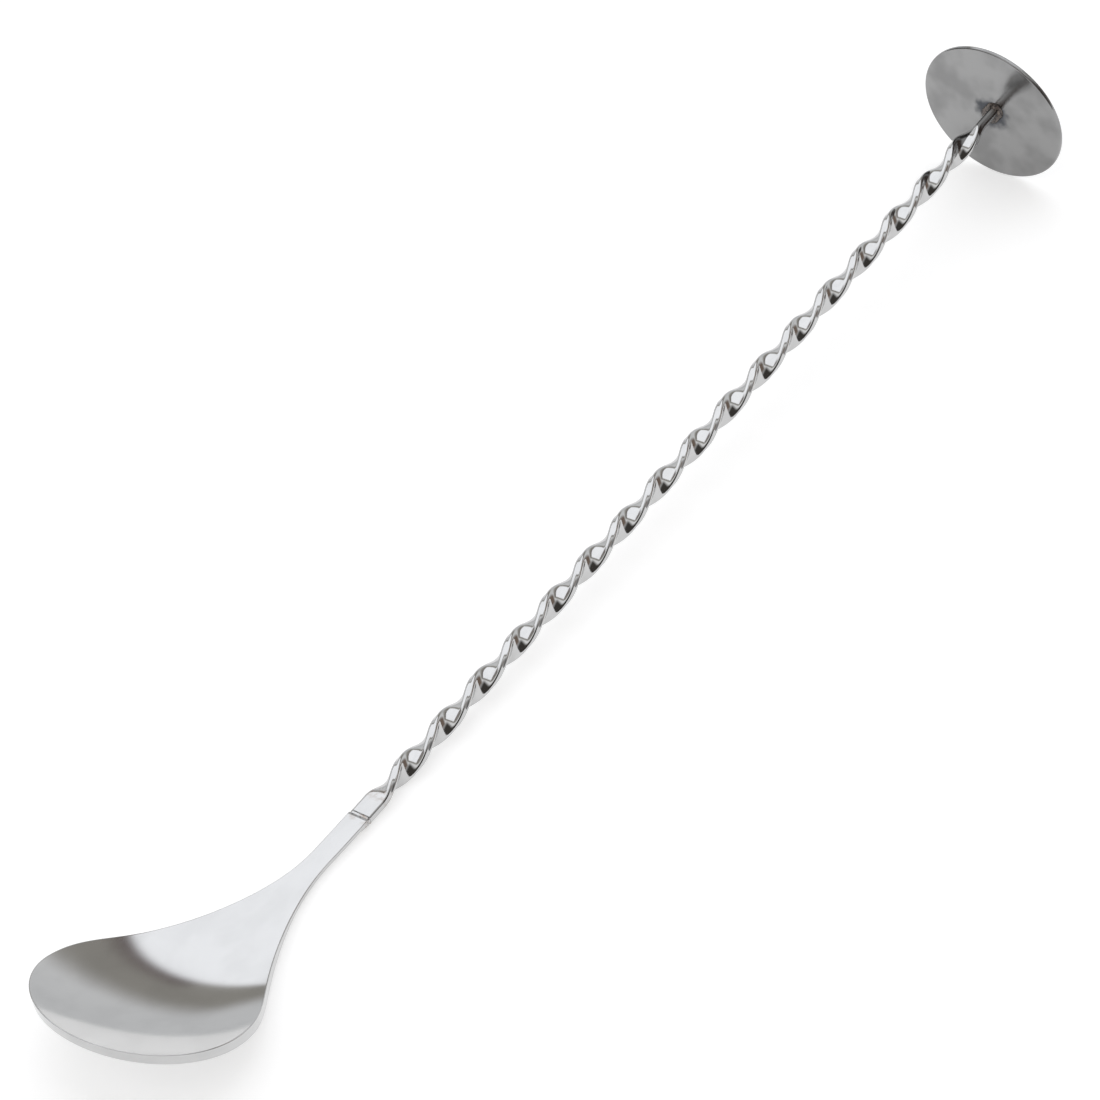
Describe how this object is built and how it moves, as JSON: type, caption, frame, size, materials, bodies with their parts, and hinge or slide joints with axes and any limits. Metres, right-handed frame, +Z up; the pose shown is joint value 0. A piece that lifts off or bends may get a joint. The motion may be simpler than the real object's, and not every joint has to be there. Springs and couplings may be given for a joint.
{
  "type": "bar spoon",
  "caption": "Long stainless steel bar spoon with a shallow bowl, a twisted strip stem and a round flat muddler disc on the far end.",
  "frame": {"origin": "under the middle of the spoon's box, on the table it rests on", "axes": "+X along the spoon from the bowl to the muddler disc, +Y across the bowl, +Z up out of the bowl. The spoon is at rest on z = 0, with the strip's edge where the twist starts and the disc's rim touching, so the stem slopes up 3.8 degrees towards the disc and the bowl is lifted clear."},
  "size_m": [0.2722, 0.0374, 0.029],
  "materials": {
    "polished_steel": "polished stainless steel",
    "disc_steel": "polished stainless steel with faint turning lines",
    "weld_steel": "heat tinted weld metal"
  },
  "bodies": {
    "root": {"spoon_head": "polished_steel", "neck_weld": "weld_steel", "twisted_stem": "polished_steel", "disc_weld": "weld_steel", "muddler_disc": "disc_steel"}
  },
  "joints": []
}
